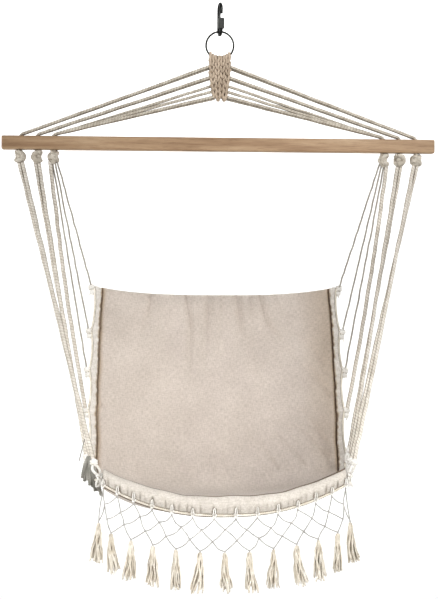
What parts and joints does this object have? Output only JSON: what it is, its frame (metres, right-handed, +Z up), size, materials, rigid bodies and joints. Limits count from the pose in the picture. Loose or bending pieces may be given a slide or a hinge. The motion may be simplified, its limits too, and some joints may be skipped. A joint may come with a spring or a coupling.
{
  "type": "hammock chair",
  "caption": "Hanging hammock chair: padded canvas seat slung on cords from a wooden spreader bar, with a macrame neck, steel ring and link, and a net fringe with tassels.",
  "frame": {"origin": "where the upper bow of the quick link rests on its ceiling hook", "axes": "+Z up, +X along the wooden bar to the right in front view, the seat faces -Y"},
  "size_m": [0.95, 0.5809, 1.2176],
  "materials": {
    "steel": "satin",
    "braid": "matte",
    "cord": "matte",
    "wood": "satin",
    "canvas": "matte",
    "cotton": "matte"
  },
  "bodies": {
    "link": {"quick_link": "steel"},
    "nut": {"link_nut": "steel"},
    "ring": {"ring": "steel"},
    "spreader": {"macrame_neck": "braid", "spreader_bar": "wood", "bridle_left_outer": "cord", "bridle_left_middle": "cord", "bridle_left_inner": "cord", "bridle_right_outer": "cord", "bridle_right_middle": "cord", "bridle_right_inner": "cord"},
    "seat": {"suspension_cord_left_1": "cord", "suspension_cord_left_2": "cord", "suspension_cord_left_3": "cord", "suspension_cord_left_4": "cord", "suspension_cord_left_5": "cord", "suspension_cord_left_6": "cord", "suspension_cord_left_7": "cord", "suspension_cord_left_8": "cord", "suspension_cord_right_1": "cord", "suspension_cord_right_2": "cord", "suspension_cord_right_3": "cord", "suspension_cord_right_4": "cord", "suspension_cord_right_5": "cord", "suspension_cord_right_6": "cord", "suspension_cord_right_7": "cord", "suspension_cord_right_8": "cord", "pad": "canvas", "front_roll": "cotton", "side_cord_left": "cord", "side_cord_right": "cord", "front_cord": "cord", "net": "cord", "tassel_01": "cotton", "tassel_02": "cotton", "tassel_03": "cotton", "tassel_04": "cotton", "tassel_05": "cotton", "tassel_06": "cotton", "tassel_07": "cotton", "tassel_08": "cotton", "tassel_09": "cotton", "tassel_10": "cotton", "tassel_11": "cotton", "tassel_12": "cotton", "tassel_13": "cotton"}
  },
  "joints": [
    {"name": "nut_travel", "type": "slide", "parent": "link", "child": "nut", "axis": [0, 0, 1], "range_m": [0, 0.016]},
    {"name": "ring_tilt", "type": "hinge", "parent": "link", "child": "ring", "pos_m": [0, 0, -0.0565], "axis": [1, 0, 0], "range_deg": [-30, 30]},
    {"name": "neck_sway", "type": "hinge", "parent": "ring", "child": "spreader", "pos_m": [0, 0, -0.0868], "axis": [0, 1, 0], "range_deg": [-30, 30]},
    {"name": "seat_swing", "type": "hinge", "parent": "spreader", "child": "seat", "pos_m": [0, 0, -0.3531], "axis": [1, 0, 0], "range_deg": [-25, 25]}
  ]
}
